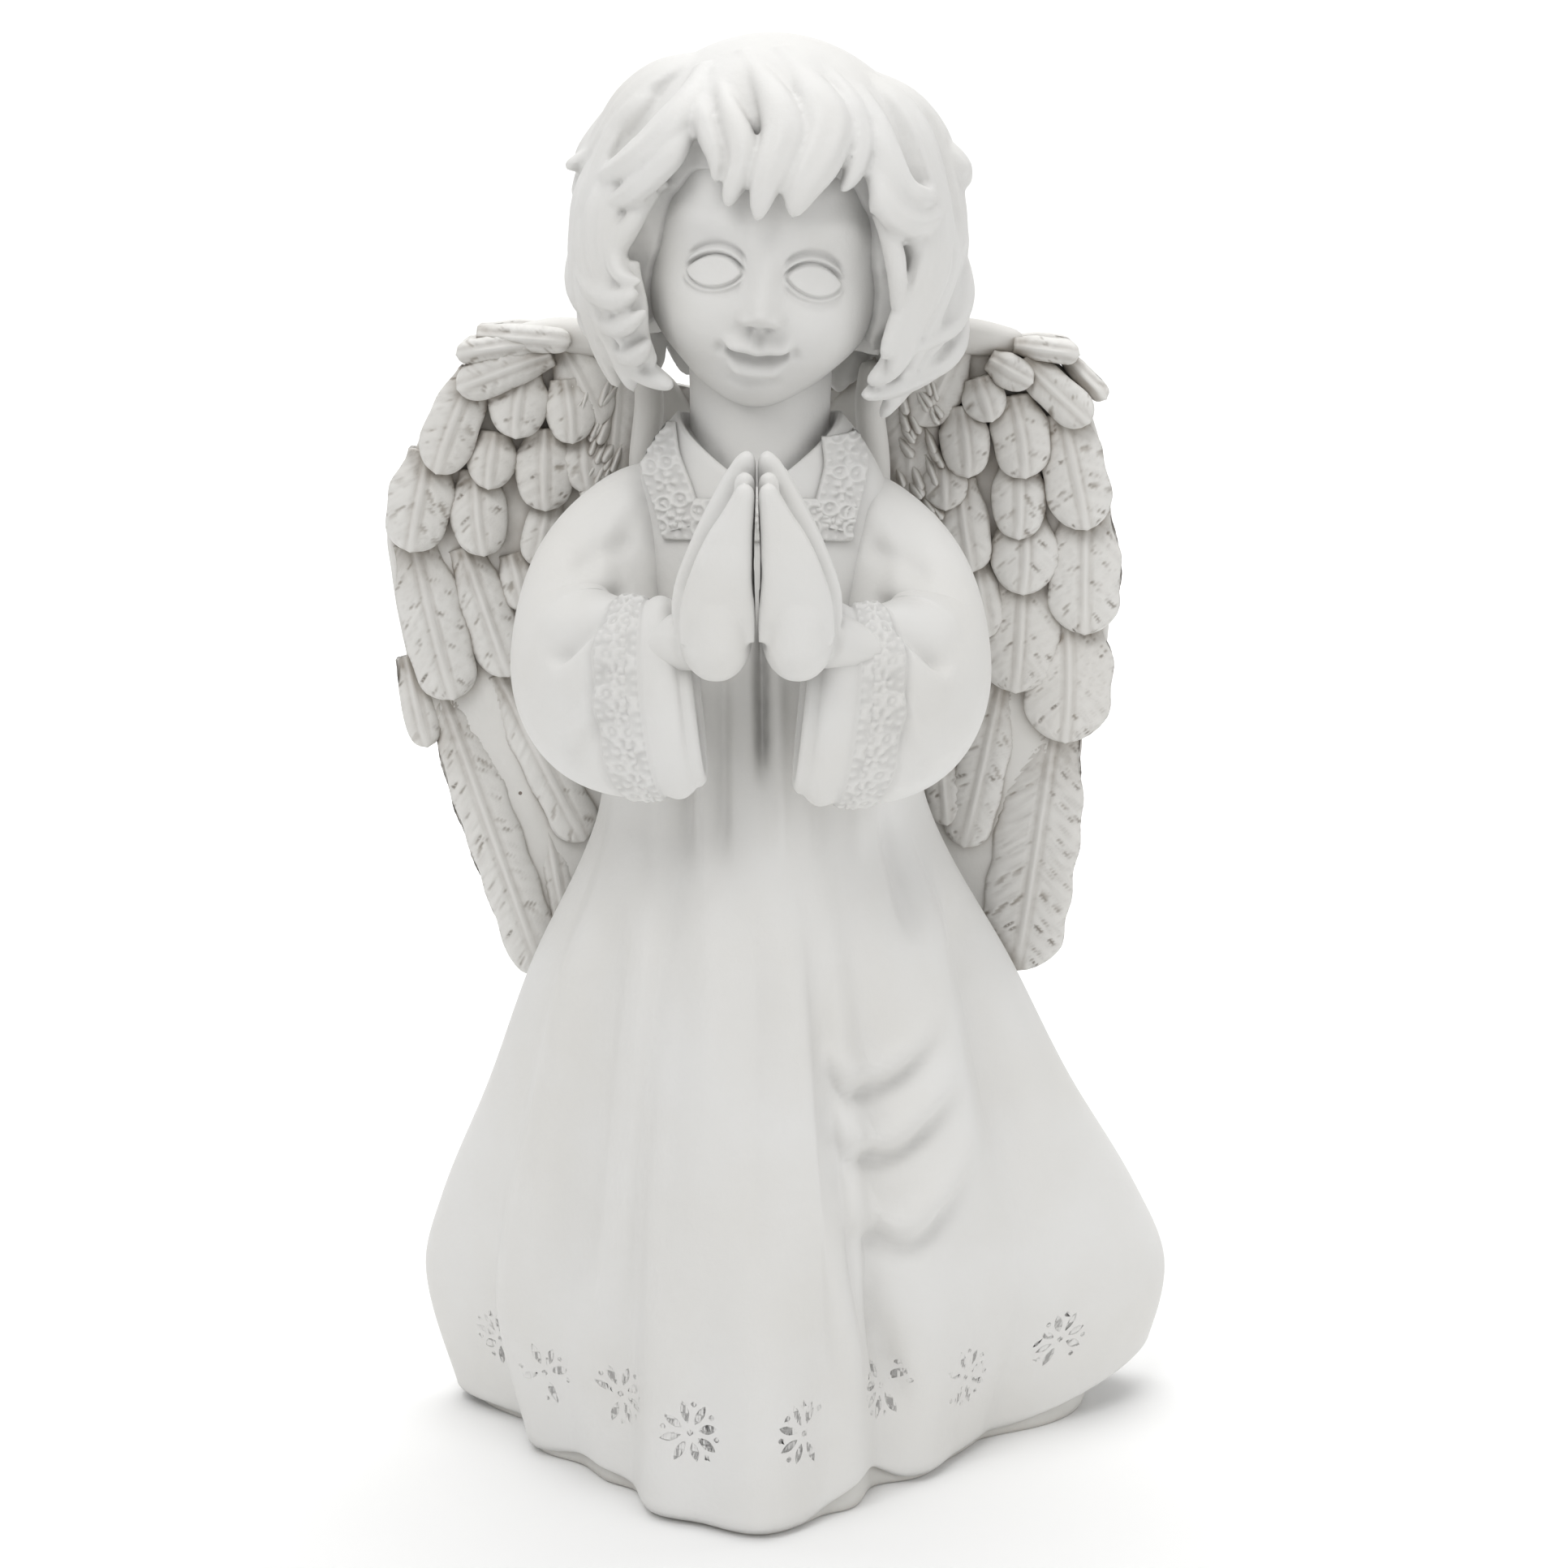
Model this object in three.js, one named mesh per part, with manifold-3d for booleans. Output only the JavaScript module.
// A praying child angel, a garden and mantel figurine cast in white resin and glued up from separate castings.
// Millimetres, +Z up. The figure faces -Y and stands on z = 0, centred over the middle of its own outline.
// Left and right are the figure's own, so its left is +X. A bearing is an angle about the figure's axis, in
// degrees from straight ahead, positive towards its left.
import * as THREE from "three";
import { mergeVertices } from "three/addons/utils/BufferGeometryUtils.js";
import Module from "manifold-3d";

const wasm = await Module();
wasm.setup();

// ---- Driving dimensions ----

const GOWN_HEIGHT = 178; // from the floor to the neck seat
const SKIRT_FLARE = 1; // spread of the skirt below the waist, 1 as sculpted
const WALL = 4; // thickness of the hollow gown casting
const CLEARANCE = 0.3; // glue gap between two castings
const PIN_CLEARANCE = 0.3; // round a steel pin
const HEM_CLEARANCE = 0.55; // under the hem, whose waves bring the facets closer than their corners

const PLATE_TOP = 14; // top of the base plate's spigot, inside the gown
const PLATE_INSET = 1.6; // how far the base plate's edge sits in from the hem

const NECK_RADIUS = 12.4;
const SPIGOT_RADIUS = 8.6; // the neck's spigot, in the gown's collar hole
const SPIGOT_LENGTH = 10;
const HEAD_RISE = 37; // neck seat to the middle of the skull
const HEAD_HALF_WIDTH = 22.5;
const HEAD_HALF_DEPTH = 25.5;
const HEAD_HALF_HEIGHT = 28;
const HEAD_TILT = 5.5; // degrees, towards the figure's left shoulder
const HAIR_THICKNESS = 7;

const FLOWERS = 12; // sunk round the hem
const FLOWER_HEIGHT = 15; // above the hem's edge
const PETALS = 8;
const PETAL_LENGTH = 3.8;
const PETAL_WIDTH = 1.5;
const PETAL_START = 2.2; // from the flower's centre to the petal
const PETAL_DEPTH = 1.2;

const COLLAR_RELIEF = 1; // the lace band's height over the gown
const COLLAR_WIDTH = 8;
const COLLAR_HALF_SPAN = 13; // axis to the middle of each shoulder band
const COLLAR_DROP = 8; // neck seat to the middle of the cross band

const SHOULDER_DROP = 12; // neck seat to the shoulder joint
const CUFF_RELIEF = 0.8;
const CUFF_WALL = 2.4;
const CUFF_DEPTH = 6; // of the open bell of the cuff
const SHOULDER_PIN_RADIUS = 1.5;
const SHOULDER_PIN_LENGTH = 14;

const PALM_GAP = 0.3; // between the two hands
const HAND_HEIGHT = 35; // heel of the hand to the fingertips

const WING_SHEET = 4; // thickness of the wing behind its feathers
const WING_BACK = 24; // axis to the middle of the wing at its root
const WING_SWEEP = 0.12; // how fast the wing comes forward as it spreads
const FEATHER_THICKNESS = 7;
const KEY_WIDTH = 6; // the moulded key that locks a wing into the gown's back
const KEY_HEIGHT = 24;
const KEY_REACH = 13; // how far the key passes in from the wing's middle
const KEY_OFFSET = 11.5; // axis to the middle of the key
const KEY_DROP = 30; // neck seat to the middle of the key
const WING_PIN_RADIUS = 1.5;
const WING_PIN_LENGTH = 14;
const WING_PIN_RISE = 18; // key's middle to the pin above it

const NECK_SEAT = GOWN_HEIGHT;

// ---- Solids and meshes ----

// A closed three.js geometry as a manifold solid.
function toSolid(geometry) {
  const bare = new THREE.BufferGeometry().setAttribute("position", geometry.getAttribute("position"));
  if (geometry.index) bare.setIndex(geometry.index);
  const merged = mergeVertices(bare, 1e-4);
  const index = merged.index.array;
  const triangles = [];
  for (let i = 0; i < index.length; i += 3) {
    const [a, b, c] = index.subarray(i, i + 3);
    if (a !== b && b !== c && c !== a) triangles.push(a, b, c);
  }
  const mesh = { numProp: 3, vertProperties: merged.attributes.position.array };
  return new wasm.Manifold(new wasm.Mesh({ ...mesh, triVerts: new Uint32Array(triangles) }));
}

function toGeometry(solid) {
  const mesh = solid.getMesh();
  const geometry = new THREE.BufferGeometry();
  geometry.setAttribute("position", new THREE.BufferAttribute(new Float32Array(mesh.vertProperties), 3));
  geometry.setIndex(new THREE.BufferAttribute(new Uint32Array(mesh.triVerts), 1));
  geometry.computeVertexNormals();
  return geometry;
}

const join = (...solids) => solids.reduce((whole, solid) => whole.add(solid));
const cut = (body, ...tools) => tools.reduce((left, tool) => left.subtract(tool), body);
const mirrored = (solid) => toSolid(mirrorGeometry(toGeometry(solid)));

// The geometry reflected across the figure's middle plane, its faces still pointing out.
function mirrorGeometry(geometry) {
  const position = geometry.getAttribute("position");
  for (let i = 0; i < position.count; i++) position.setX(i, -position.getX(i));
  const index = geometry.index.array;
  for (let i = 0; i < index.length; i += 3) [index[i], index[i + 1]] = [index[i + 1], index[i]];
  return geometry;
}

// A closed skin of rings. place(bearing, row) gives each vertex, and the first and last rows close to a point.
function skin(rows, segments, place) {
  const profile = Array.from({ length: rows }, (_, row) => new THREE.Vector2(1, row));
  const geometry = new THREE.LatheGeometry(profile, segments);
  const position = geometry.getAttribute("position");
  for (let i = 0; i <= segments; i++) {
    const bearing = (360 * (i % segments)) / segments;
    for (let row = 0; row < rows; row++) {
      const point = place(bearing > 180 ? bearing - 360 : bearing, row);
      position.setXYZ(i * rows + row, point.x, point.y, point.z);
    }
  }
  return toSolid(geometry);
}

// A point at a bearing, radius and height about the figure's axis.
function polar(bearing, radius, z) {
  const angle = THREE.MathUtils.degToRad(bearing);
  return new THREE.Vector3(radius * Math.sin(angle), -radius * Math.cos(angle), z);
}

// A round bar between two points.
function bar(from, to, radius, segments = 16) {
  const along = new THREE.Vector3().subVectors(to, from);
  const geometry = new THREE.CylinderGeometry(radius, radius, along.length(), segments);
  geometry.applyQuaternion(
    new THREE.Quaternion().setFromUnitVectors(new THREE.Vector3(0, 1, 0), along.clone().normalize()),
  );
  geometry.translate(...from.clone().addScaledVector(along, 0.5).toArray());
  return toSolid(geometry);
}

function block(width, depth, height, x, y, z) {
  return toSolid(new THREE.BoxGeometry(width, depth, height).translate(x, y, z));
}

// ---- Curves ----

// A smooth function through [x, value] points, with x rising.
function curveThrough(points) {
  const slope = (i) => {
    const [a, b] = [points[Math.max(0, i - 1)], points[Math.min(points.length - 1, i + 1)]];
    return (b[1] - a[1]) / (b[0] - a[0]);
  };
  return (x) => {
    const at = Math.min(Math.max(x, points[0][0]), points[points.length - 1][0]);
    let i = 0;
    while (i < points.length - 2 && at > points[i + 1][0]) i++;
    const span = points[i + 1][0] - points[i][0];
    const t = (at - points[i][0]) / span;
    const rise = t * t * (3 - 2 * t);
    return (
      points[i][1] * (1 - rise) +
      points[i + 1][1] * rise +
      span * t * (1 - t) * ((1 - t) * slope(i) - t * slope(i + 1))
    );
  };
}

// A function of bearing that swings smoothly from each [bearing, value] to the next, all the way round.
function swingRound(points) {
  const [first, last] = [points[0], points[points.length - 1]];
  const ring = [[last[0] - 360, last[1]], ...points, [first[0] + 360, first[1]]];
  return (bearing) => {
    const i = ring.findIndex((point, n) => n > 0 && bearing <= point[0]);
    const t = (bearing - ring[i - 1][0]) / (ring[i][0] - ring[i - 1][0]);
    return ring[i - 1][1] + (ring[i][1] - ring[i - 1][1]) * t * t * (3 - 2 * t);
  };
}

// A limb lofted through stations of a middle point and the half widths across and up.
function limb(stations, segments, rows, grow = () => 0) {
  const path = new THREE.CatmullRomCurve3(stations.map((s) => new THREE.Vector3(...s.at)));
  const widthAt = curveThrough(stations.map((s, i) => [i / (stations.length - 1), s.across]));
  const heightAt = curveThrough(stations.map((s, i) => [i / (stations.length - 1), s.up]));
  return skin(rows + 3, segments, (bearing, row) => {
    const t = Math.min(Math.max((row - 1) / rows, 0), 1);
    const middle = path.getPoint(t);
    if (row === 0 || row === rows + 2) return middle;
    const ahead = path.getTangent(t);
    const side = new THREE.Vector3().crossVectors(ahead, new THREE.Vector3(0, 0, 1)).normalize();
    const up = new THREE.Vector3().crossVectors(side, ahead);
    const angle = THREE.MathUtils.degToRad(bearing);
    const swell = grow(t);
    return middle
      .addScaledVector(side, (widthAt(t) + swell) * Math.sin(angle))
      .addScaledVector(up, (heightAt(t) + swell) * Math.cos(angle));
  });
}

// ---- The gown's outline ----

// Heights are shares of the gown's height. Half widths are to the side, to the front and to the back.
const GOWN_ROWS = [
  { share: 0, side: 54, front: 50, back: 50 },
  { share: 0.14, side: 61, front: 46.5, back: 49 },
  { share: 0.225, side: 58, front: 44, back: 46 },
  { share: 0.35, side: 49.5, front: 40, back: 40 },
  { share: 0.485, side: 41, front: 34.5, back: 33 },
  { share: 0.63, side: 29.5, front: 26, back: 25 },
  { share: 0.73, side: 27, front: 22.5, back: 22.5 },
  { share: 0.84, side: 25, front: 20, back: 21 },
  { share: 0.93, side: 22.5, front: 17, back: 18 },
  { share: 0.97, side: 18.5, front: 15.5, back: 16 },
  { share: 1, side: 14, front: 14, back: 14 },
];
const WAIST_SHARE = 0.63;
const WAIST_ROW = GOWN_ROWS.find((row) => row.share === WAIST_SHARE);

// A half width with the skirt's flare applied below the waist.
function flared(row, way) {
  if (row.share >= WAIST_SHARE) return row[way];
  return WAIST_ROW[way] + (row[way] - WAIST_ROW[way]) * SKIRT_FLARE;
}
const [sideAt, frontAt, backAt] = ["side", "front", "back"].map((way) =>
  curveThrough(GOWN_ROWS.map((row) => [row.share, flared(row, way)])),
);

// Ridges and valleys of the skirt at the hem, as offsets from the calm outline. The widest ridges are the
// ruffles that swing out at each side.
const foldAt = swingRound([
  [-165, -4],
  [-150, 2],
  [-133, -5],
  [-104, 4],
  [-83, -13],
  [-71, -9.5],
  [-55, -13.5],
  [0, 0],
  [41, -13],
  [75, -12],
  [105, 18],
  [128, -4],
  [148, 3],
  [165, -4],
  [178, 1],
]);
// How much of each fold is left at a height.
const foldShare = curveThrough([
  [0, 1],
  [0.14, 1],
  [0.35, 0.55],
  [0.485, 0.32],
  [0.63, 0.15],
  [0.74, 0],
  [1, 0],
]);
// The hem's edge lifts off the floor between the folds, and most of all under the left ruffle.
const hemEdgeAt = swingRound([
  [-140, 4],
  [-105, 3.5],
  [-71, 2.4],
  [-50, 4.8],
  [-20, 2.2],
  [8, 2.2],
  [28, 7],
  [44, 2.6],
  [80, 3],
  [105, 12.5],
  [122, 12],
  [145, 4],
]);

// How far each ruffle overhangs the base plate.
const overhangAt = swingRound([
  [-125, 0],
  [-104, 3],
  [-80, 0],
  [84, 0],
  [106, 13],
  [130, 0],
]);

function gownRadius(bearing, z) {
  const share = Math.max(0, z) / GOWN_HEIGHT;
  const angle = THREE.MathUtils.degToRad(bearing);
  const ahead = Math.cos(angle);
  const deep = ahead > 0 ? frontAt(share) : backAt(share);
  const calm = 1 / Math.hypot(ahead / deep, Math.sin(angle) / sideAt(share));
  return calm + foldAt(bearing) * SKIRT_FLARE * foldShare(share);
}

const GOWN_SEGMENTS = 56;
const GOWN_LEVELS = [0, 0.04, 0.1, 0.18, 0.27, 0.36, 0.46, 0.56, 0.64, 0.73, 0.84, 0.91, 0.96, 1];

// The solid inside the gown's outer face, moved out by offset.
function gownEnvelope(offset, levels = GOWN_LEVELS) {
  const rows = levels.length + 3;
  const rimWidth = WALL + 3;
  return skin(rows, GOWN_SEGMENTS, (bearing, row) => {
    const edge = hemEdgeAt(bearing) - offset;
    if (row === 0) return new THREE.Vector3(0, 0, 1);
    if (row === 1) return polar(bearing, gownRadius(bearing, edge) - rimWidth, edge);
    if (row === rows - 1) return new THREE.Vector3(0, 0, GOWN_HEIGHT + offset);
    const z = edge + (GOWN_HEIGHT + offset - edge) * levels[row - 2];
    return polar(bearing, gownRadius(bearing, z) + offset, z);
  });
}

const HOLLOW_LEVELS = [0, 0.14, 0.27, 0.44, 0.63, 0.8];
const HOLLOW_TOP_SHARE = 0.93;

// The hollow inside the gown, open below.
function gownHollow() {
  const rows = HOLLOW_LEVELS.length + 3;
  return skin(rows, GOWN_SEGMENTS, (bearing, row) => {
    if (row === 0) return new THREE.Vector3(0, 0, -5);
    if (row === rows - 1) return new THREE.Vector3(0, 0, GOWN_HEIGHT * HOLLOW_TOP_SHARE);
    const z = GOWN_HEIGHT * HOLLOW_LEVELS[Math.max(0, row - 2)];
    return polar(bearing, gownRadius(bearing, z) - WALL, row === 1 ? -5 : z);
  });
}

// ---- The flowers of the hem ----

// The cutter of one petal: a four-sided rod that sinks PETAL_DEPTH into the gown's face, turned about the flower.
function petal(bearing, z, turn) {
  const rod = new THREE.CylinderGeometry(1, 1, 2 * PETAL_DEPTH, 4);
  rod.scale(PETAL_WIDTH / 2, 1, PETAL_LENGTH / 2);
  rod.translate(0, 0, PETAL_START + PETAL_LENGTH / 2);
  rod.rotateY(turn);
  const centre = polar(bearing, gownRadius(bearing, z), z);
  const outward = polar(bearing, 1, 0);
  const matrix = new THREE.Matrix4().makeBasis(
    new THREE.Vector3().crossVectors(outward, new THREE.Vector3(0, 0, 1)),
    outward,
    new THREE.Vector3(0, 0, 1),
  );
  rod.applyMatrix4(matrix.setPosition(centre));
  return toSolid(rod);
}

function flowerCutters() {
  const cutters = [];
  for (let flower = 0; flower < FLOWERS; flower++) {
    const bearing = (360 * (flower + 0.5)) / FLOWERS - 180;
    const z = hemEdgeAt(bearing) + FLOWER_HEIGHT;
    for (let n = 0; n < PETALS; n++) cutters.push(petal(bearing, z, (2 * Math.PI * n) / PETALS));
  }
  return cutters;
}

// ---- Head and hair ----

const HEAD_CENTRE = new THREE.Vector3(1.5, -1, NECK_SEAT + HEAD_RISE);

// A soft bump of the given height and width about a direction seen from the head's middle.
function bump(direction, towards, height, width) {
  const away = direction.distanceTo(towards);
  return height * Math.exp(-((away / width) ** 2));
}

const BROW = new THREE.Vector3(0, -0.95, 0.25).normalize();
const NOSE = new THREE.Vector3(0, -0.93, -0.2).normalize();
const CHIN = new THREE.Vector3(0, -0.75, -0.85).normalize();
const CHEEK = new THREE.Vector3(0.55, -0.7, -0.42).normalize();

// How far the head's skin stands from its middle in a direction, moved out by offset.
function headSkin(direction, offset) {
  const reach = Math.hypot(
    direction.x / HEAD_HALF_WIDTH,
    direction.y / HEAD_HALF_DEPTH,
    direction.z / HEAD_HALF_HEIGHT,
  );
  const across = new THREE.Vector3(Math.abs(direction.x), direction.y, direction.z);
  return (
    1 / reach +
    offset +
    bump(direction, BROW, 0.8, 0.4) +
    bump(direction, NOSE, 3.4, 0.13) +
    bump(direction, CHIN, 1.2, 0.3) +
    bump(across, CHEEK, 1.6, 0.42)
  );
}

// Places a ball's vertices at reach(direction) from the head's middle, leaning with the head.
function headBall(across, down, reach) {
  const lean = new THREE.Matrix4().makeRotationY(THREE.MathUtils.degToRad(HEAD_TILT));
  return skin(down + 1, across, (bearing, row) => {
    const fall = Math.PI * (1 - row / down);
    const direction = polar(bearing, Math.sin(fall), Math.cos(fall));
    if (row === 0 || row === down) direction.set(0, 0, row ? 1 : -1);
    return direction.multiplyScalar(reach(direction)).applyMatrix4(lean).add(HEAD_CENTRE);
  });
}

function headSolid(offset) {
  const ball = headBall(24, 16, (direction) => headSkin(direction, offset));
  const foot = new THREE.Vector3(0, 0, NECK_SEAT + CLEARANCE - offset);
  const neckTop = new THREE.Vector3(0, 0, NECK_SEAT + HEAD_RISE * 0.55);
  return join(ball, bar(foot, neckTop, NECK_RADIUS + offset, 28));
}

function head() {
  const spigot = bar(
    new THREE.Vector3(0, 0, NECK_SEAT - SPIGOT_LENGTH),
    new THREE.Vector3(0, 0, NECK_SEAT + 2),
    SPIGOT_RADIUS,
    24,
  );
  return join(headSolid(0), spigot);
}

// The hair's outer face: waves that run back from the brow, and curls that swell at the sides and nape.
function hairSkin(direction) {
  const bearing = Math.atan2(direction.x, -direction.y);
  const low = THREE.MathUtils.smoothstep(-direction.z, -0.1, 0.7);
  const wave = Math.sin(bearing * 9 + direction.z * 3) * (0.4 + 0.9 * low);
  return headSkin(direction, HAIR_THICKNESS) + 2.2 * low * Math.abs(direction.x) + wave;
}

// Locks over the cap: a ragged fringe, a flick at each temple and curls over the ears. Each runs through
// [bearing, elevation, height off the head] and tapers to its tip.
const LOCKS = [
  [[2, 72, 5], [-5, 52, 7.5], [-12, 34, 6.5], [-5, 15, 2.5]],
  [[-6, 72, 5], [-24, 52, 7.5], [-38, 34, 7], [-33, 19, 3]],
  [[8, 72, 5], [14, 52, 7.5], [6, 34, 6.5], [17, 15, 2.5]],
  [[12, 70, 5], [32, 52, 7.5], [30, 36, 7], [44, 19, 3.5]],
  [[-25, 62, 5], [-55, 46, 7], [-72, 32, 8], [-82, 21, 12.5]],
  [[25, 62, 5], [55, 46, 7], [72, 32, 8], [82, 21, 12.5]],
  [[-82, 26, 6], [-70, 4, 6.5], [-60, -18, 5], [-52, -34, 4.5]],
  [[82, 26, 6], [70, 4, 6.5], [60, -18, 5], [52, -34, 4.5]],
  [[-100, 20, 5], [-96, -8, 7], [-84, -32, 7.5], [-66, -46, 7]],
  [[100, 20, 5], [96, -8, 7], [84, -32, 7.5], [66, -46, 7]],
];
const LOCK_RADIUS = 4.6;

// A point off the head's skin at a bearing and elevation seen from its middle.
function overHead([bearing, elevation, lift]) {
  const rise = THREE.MathUtils.degToRad(elevation);
  const direction = polar(bearing, Math.cos(rise), Math.sin(rise));
  const lean = new THREE.Matrix4().makeRotationY(THREE.MathUtils.degToRad(HEAD_TILT));
  return direction.multiplyScalar(headSkin(direction, lift)).applyMatrix4(lean).add(HEAD_CENTRE);
}

function lock(points) {
  const stations = points.map((point, i) => {
    const radius = LOCK_RADIUS * [0.75, 1, 0.8, 0.25][i];
    return { at: overHead(point).toArray(), across: radius, up: radius };
  });
  return limb(stations, 8, 6);
}

function hairCap() {
  const outer = headBall(44, 20, hairSkin);
  const window = new THREE.CylinderGeometry(1, 1, 60, 20).scale(20.5, 1, 25.5);
  window.translate(HEAD_CENTRE.x, HEAD_CENTRE.y - 40, HEAD_CENTRE.z - 14);
  const underside = block(120, 120, 40, 0, 0, NECK_SEAT - 8.5);
  const cap = cut(outer, toSolid(window), underside);
  return cut(join(cap, ...LOCKS.map(lock)), headSolid(CLEARANCE));
}

// ---- Sleeves and hands, made for the figure's right arm ----

const SHOULDER = new THREE.Vector3(-14, 2, NECK_SEAT - SHOULDER_DROP);
const SLEEVE_STATIONS = [
  { at: [-14, 2, -10], across: 9, up: 9 },
  { at: [-21, 0, -14.5], across: 12, up: 11.5 },
  { at: [-27, -4, -23], across: 13.5, up: 13 },
  { at: [-29.5, -11, -32.5], across: 13, up: 15 },
  { at: [-28.6, -20, -35.6], across: 12, up: 16.4 },
  { at: [-22.6, -30.2, -36.2], across: 8.6, up: 16.6 },
  { at: [-13.4, -34.6, -35.2], across: 7, up: 16 },
].map((s) => ({ ...s, at: [s.at[0], s.at[1], NECK_SEAT + s.at[2]] }));
const CUFF_BAND_SHARE = 0.84; // along the sleeve, where the lace band of the cuff begins

const HAND_FOOT = NECK_SEAT - 30; // the heel of the hand
const handZ = (share) => HAND_FOOT + HAND_HEIGHT * share;
const HAND_STATIONS = [
  { at: [-19, -31, handZ(-0.12)], across: 5, up: 5 },
  { at: [-12.5, -38.5, handZ(0.02)], across: 5.4, up: 5.4 },
  { at: [-6.6, -43.5, handZ(0.16)], across: 6.6, up: 5.6 },
  { at: [-5, -45.6, handZ(0.34)], across: 7.4, up: 5.2 },
  { at: [-4, -46.8, handZ(0.56)], across: 6.6, up: 4.5 },
  { at: [-3, -47.6, handZ(0.8)], across: 5, up: 3.2 },
  { at: [-1.6, -48, handZ(1)], across: 2, up: 1.4 },
];

// A hand is wide from front to back and thin across the palms, so its sections turn as it rises.
function handLoft(offset) {
  const path = new THREE.CatmullRomCurve3(HAND_STATIONS.map((s) => new THREE.Vector3(...s.at)));
  const steps = HAND_STATIONS.length - 1;
  const deepAt = curveThrough(HAND_STATIONS.map((s, i) => [i / steps, s.across]));
  const thickAt = curveThrough(HAND_STATIONS.map((s, i) => [i / steps, s.up]));
  const rows = 12;
  const palm = new THREE.Vector3(1, 0, 0);
  return skin(rows + 3, 16, (bearing, row) => {
    const t = Math.min(Math.max((row - 1) / rows, 0), 1);
    const ahead = path.getTangent(t);
    const beyond = (t === 1) - (t === 0);
    const middle = path.getPoint(t).addScaledVector(ahead, offset * beyond);
    if (row === 0 || row === rows + 2) return middle;
    const deep = new THREE.Vector3().crossVectors(palm, ahead).normalize();
    const thick = new THREE.Vector3().crossVectors(deep, ahead);
    const angle = THREE.MathUtils.degToRad(bearing);
    return middle
      .addScaledVector(deep, (deepAt(t) + offset) * Math.sin(angle))
      .addScaledVector(thick, (thickAt(t) + offset) * Math.cos(angle));
  });
}

function hand() {
  const beyondPalm = block(40, 80, 120, 20 - PALM_GAP / 2, -40, NECK_SEAT - 20);
  return cut(handLoft(0), beyondPalm);
}

function shoulderPin(clearance) {
  const along = new THREE.Vector3(-0.8, -0.2, -0.55).normalize();
  const middle = SHOULDER.clone().addScaledVector(along, 6);
  const half = SHOULDER_PIN_LENGTH / 2 + clearance;
  return bar(
    middle.clone().addScaledVector(along, -half),
    middle.clone().addScaledVector(along, half),
    SHOULDER_PIN_RADIUS + clearance,
  );
}

// The sleeve before it is fitted to the gown, with its open cuff bored out for the hand.
function sleeve() {
  const band = (t) => CUFF_RELIEF * THREE.MathUtils.smoothstep(t, CUFF_BAND_SHARE - 0.02, CUFF_BAND_SHARE);
  const body = limb(SLEEVE_STATIONS, 20, 12, band);
  const end = SLEEVE_STATIONS.slice(-2);
  const [before, mouth] = end.map((s) => new THREE.Vector3(...s.at));
  const out = new THREE.Vector3().subVectors(mouth, before).normalize();
  const bell = [-CUFF_DEPTH, -CUFF_DEPTH / 2, 0, 3].map((step) => ({
    at: mouth.clone().addScaledVector(out, step).toArray(),
    across: end[1].across - CUFF_WALL - (step < 0 ? -step * 0.15 : 0),
    up: end[1].up - CUFF_WALL - (step < 0 ? -step * 0.5 : 0),
  }));
  return cut(body, limb(bell, 16, 2), handLoft(CLEARANCE), shoulderPin(PIN_CLEARANCE));
}

// ---- Wings, made for the figure's right side ----

const wingDepth = (out) => WING_BACK - WING_SWEEP * out;

// The wing's sheet seen from the front, from the root's foot round the outside: [out from the axis, below the
// neck seat].
const WING_OUTLINE = [
  [9, 58],
  [9, 20],
  [18, -8],
  [28, -18],
  [46, -17],
  [56, -6],
  [63, 10],
  [64, 30],
  [58, 52],
  [48, 76],
  [41, 92],
  [35, 90],
  [29, 72],
  [20, 64],
];

// Rows of feathers from the shoulder down. Tips run from the outer to the inner one, as [out, below the neck
// seat], and lean is the angle of the feather outward from straight down.
const FEATHER_ROWS = [
  { count: 3, tips: [[39, 87], [55, 62]], length: [50, 34], lean: [-17, 2], width: 11, rise: 0 },
  { count: 3, tips: [[32, 71], [62, 48]], length: [34, 28], lean: [-20, 8], width: 11, rise: 0.8 },
  { count: 4, tips: [[36, 42], [67, 26]], length: [22, 26], lean: [-8, 14], width: 11.5, rise: 1.6 },
  { count: 4, tips: [[35, 26], [67, 12]], length: [18, 20], lean: [-4, 22], width: 11, rise: 2.4 },
  { count: 4, tips: [[33, 12], [63, -2]], length: [15, 17], lean: [0, 35], width: 10.5, rise: 3.2 },
  { count: 4, tips: [[32, -1], [54, -15]], length: [13, 13], lean: [4, 62], width: 9.5, rise: 4 },
];

const mix = (range, t) => range[0] + (range[1] - range[0]) * t;

// One feather: a flat pointed ball laid along its quill.
function feather(row, t) {
  const [out, drop] = [0, 1].map((k) => row.tips[0][k] + (row.tips[1][k] - row.tips[0][k]) * t);
  const [length, lean] = [mix(row.length, t), THREE.MathUtils.degToRad(mix(row.lean, t))];
  const blade = new THREE.SphereGeometry(1, 6, 5);
  blade.scale(row.width / 2, length / 2, FEATHER_THICKNESS / 2);
  blade.rotateX(Math.PI / 2);
  blade.translate(0, 0, length / 2);
  blade.rotateY(lean);
  blade.translate(-out, wingDepth(out) - row.rise * 0.5, NECK_SEAT - drop);
  return toSolid(blade);
}

function wingKey(offset) {
  const depth = KEY_REACH + offset;
  return block(
    KEY_WIDTH + 2 * offset,
    depth,
    KEY_HEIGHT + 2 * offset,
    -KEY_OFFSET,
    wingDepth(KEY_OFFSET) - depth / 2,
    NECK_SEAT - KEY_DROP,
  );
}

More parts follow.
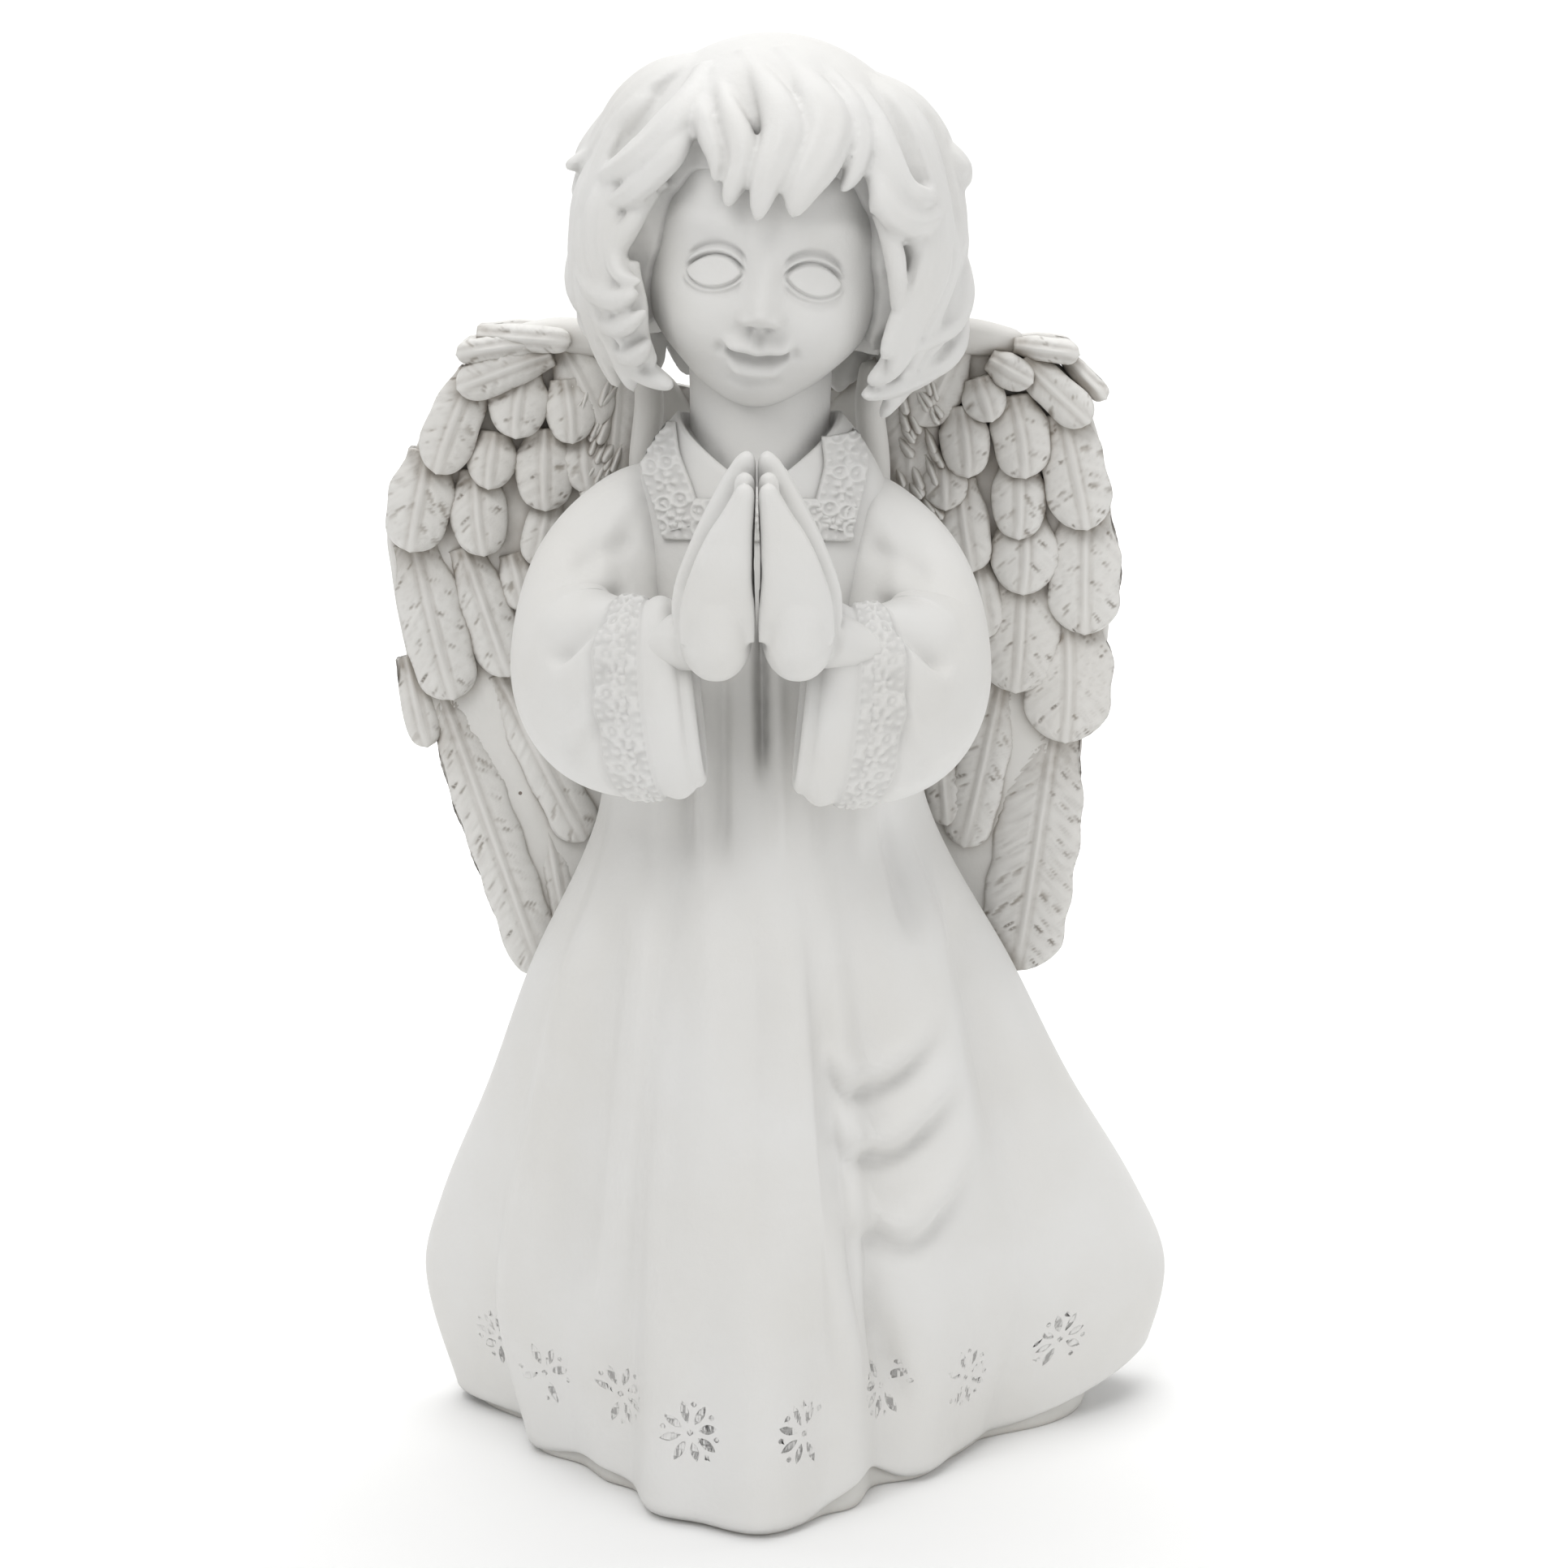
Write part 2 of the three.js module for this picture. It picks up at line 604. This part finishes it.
function wingPin(clearance) {
  const z = NECK_SEAT - KEY_DROP + WING_PIN_RISE;
  const back = wingDepth(KEY_OFFSET) + clearance;
  return bar(
    new THREE.Vector3(-KEY_OFFSET, back - WING_PIN_LENGTH - 2 * clearance, z),
    new THREE.Vector3(-KEY_OFFSET, back, z),
    WING_PIN_RADIUS + clearance,
  );
}

// The wing before it is fitted to the gown: a sheet, a thick root against the back and the feathers.
function wing() {
  const outline = new THREE.Shape();
  const points = WING_OUTLINE.map(([out, drop]) => new THREE.Vector2(-out, NECK_SEAT - drop));
  outline.moveTo(points[0].x, points[0].y);
  outline.splineThru([...points.slice(1), points[0]]);
  const sheet = new THREE.ExtrudeGeometry(outline, { depth: WING_SHEET, bevelEnabled: false, curveSegments: 3 });
  sheet.rotateX(Math.PI / 2);
  const position = sheet.getAttribute("position");
  for (let i = 0; i < position.count; i++) {
    position.setY(i, position.getY(i) + WING_SHEET / 2 + wingDepth(-position.getX(i)));
  }
  const root = new THREE.SphereGeometry(1, 12, 8).scale(9, 7, 32);
  root.translate(-KEY_OFFSET - 3, wingDepth(KEY_OFFSET) - 1, NECK_SEAT - KEY_DROP);
  const feathers = FEATHER_ROWS.flatMap((row) =>
    Array.from({ length: row.count }, (_, n) => feather(row, n / (row.count - 1))),
  );
  return join(toSolid(sheet), toSolid(root), ...feathers);
}

// ---- Collar ----

// The square lace collar: a band over each shoulder and one across the chest, in low relief. Its edges move
// out by offset.
function collar(envelope, offset = 0) {
  const high = 40;
  const width = COLLAR_WIDTH + 2 * offset;
  const span = 2 * COLLAR_HALF_SPAN + width;
  const shoulderBands = [-1, 1].map((side) =>
    block(width, 30 + 2 * offset, high, side * COLLAR_HALF_SPAN, -15, NECK_SEAT - COLLAR_DROP + high / 2),
  );
  const crossBand = block(span, 40 + 2 * offset, width, 0, -20, NECK_SEAT - COLLAR_DROP);
  return join(crossBand, ...shoulderBands).intersect(envelope);
}

// ---- Base plate ----

// Stands under the gown with a flange that shows below the hem and a spigot that locates inside the wall.
function basePlate() {
  const rows = 6;
  return skin(rows, GOWN_SEGMENTS, (bearing, row) => {
    const edge = hemEdgeAt(bearing);
    const flange = gownRadius(bearing, edge) - PLATE_INSET - overhangAt(bearing);
    const inside = Math.min(gownRadius(bearing, 0), gownRadius(bearing, PLATE_TOP));
    const spigot = Math.min(flange - 1, inside - WALL - 1);
    if (row === 0) return new THREE.Vector3(0, 0, 0);
    if (row === 1) return polar(bearing, flange, 0);
    if (row === 2) return polar(bearing, flange, edge - HEM_CLEARANCE);
    if (row === 3) return polar(bearing, spigot, edge - HEM_CLEARANCE);
    if (row === 4) return polar(bearing, spigot - 2, PLATE_TOP);
    return new THREE.Vector3(0, 0, PLATE_TOP);
  });
}

// ---- Assembly ----

const resin = { roughness: 0.55, metalness: 0 };
const MATERIALS = {
  whiteResin: new THREE.MeshStandardMaterial({ color: 0xe9e6e1, ...resin }),
  washedResin: new THREE.MeshStandardMaterial({ color: 0xd8d3cb, ...resin }),
  rawResin: new THREE.MeshStandardMaterial({ color: 0xc9c5bd, ...resin, roughness: 0.7 }),
  steel: new THREE.MeshStandardMaterial({ color: 0x9a9a9c, roughness: 0.35, metalness: 1 }),
};

const figurine = new THREE.Group();

function addPiece(name, solid, material) {
  const mesh = new THREE.Mesh(toGeometry(solid), material);
  mesh.name = name;
  figurine.add(mesh);
}

const gownGrown = gownEnvelope(CLEARANCE);
const collarGrown = collar(gownEnvelope(COLLAR_RELIEF + CLEARANCE), CLEARANCE);
const seatCut = join(gownGrown, collarGrown);
const neckHole = bar(
  new THREE.Vector3(0, 0, GOWN_HEIGHT * HOLLOW_TOP_SHARE - 20),
  new THREE.Vector3(0, 0, NECK_SEAT + 5),
  SPIGOT_RADIUS + CLEARANCE,
  24,
);
const neckClear = bar(
  new THREE.Vector3(0, 0, NECK_SEAT + 0.01),
  new THREE.Vector3(0, 0, NECK_SEAT + 30),
  NECK_RADIUS + CLEARANCE + 0.5,
  28,
);

// Everything that comes in a pair is made for the figure's right side and reflected for its left.
const SIDES = { right: (solid) => solid, left: mirrored };
const sockets = Object.values(SIDES).flatMap((place) =>
  [wingKey(CLEARANCE), wingPin(PIN_CLEARANCE), shoulderPin(PIN_CLEARANCE)].map(place),
);
const gown = cut(
  join(gownEnvelope(0), cut(collar(gownEnvelope(COLLAR_RELIEF)), neckClear)),
  gownHollow(),
  neckHole,
  ...sockets,
  ...flowerCutters(),
);

addPiece("gown_shell", gown, MATERIALS.whiteResin);
addPiece("base_plate", basePlate(), MATERIALS.rawResin);
addPiece("head", head(), MATERIALS.whiteResin);
addPiece("hair_cap", hairCap(), MATERIALS.whiteResin);
for (const [side, place] of Object.entries(SIDES)) {
  const fittedWing = join(cut(place(wing()), gownGrown), place(wingKey(0)));
  addPiece(`sleeve_${side}`, cut(place(sleeve()), seatCut), MATERIALS.whiteResin);
  addPiece(`hand_${side}`, place(hand()), MATERIALS.whiteResin);
  addPiece(`wing_${side}`, cut(fittedWing, place(wingPin(PIN_CLEARANCE))), MATERIALS.washedResin);
  addPiece(`wing_pin_${side}`, place(wingPin(0)), MATERIALS.steel);
  addPiece(`shoulder_pin_${side}`, place(shoulderPin(0)), MATERIALS.steel);
}

// The frame's origin is under the middle of the whole figure's outline.
const box = new THREE.Box3().setFromObject(figurine);
const middle = box.getCenter(new THREE.Vector3());
figurine.position.set(-middle.x, -middle.y, 0);

export default figurine;
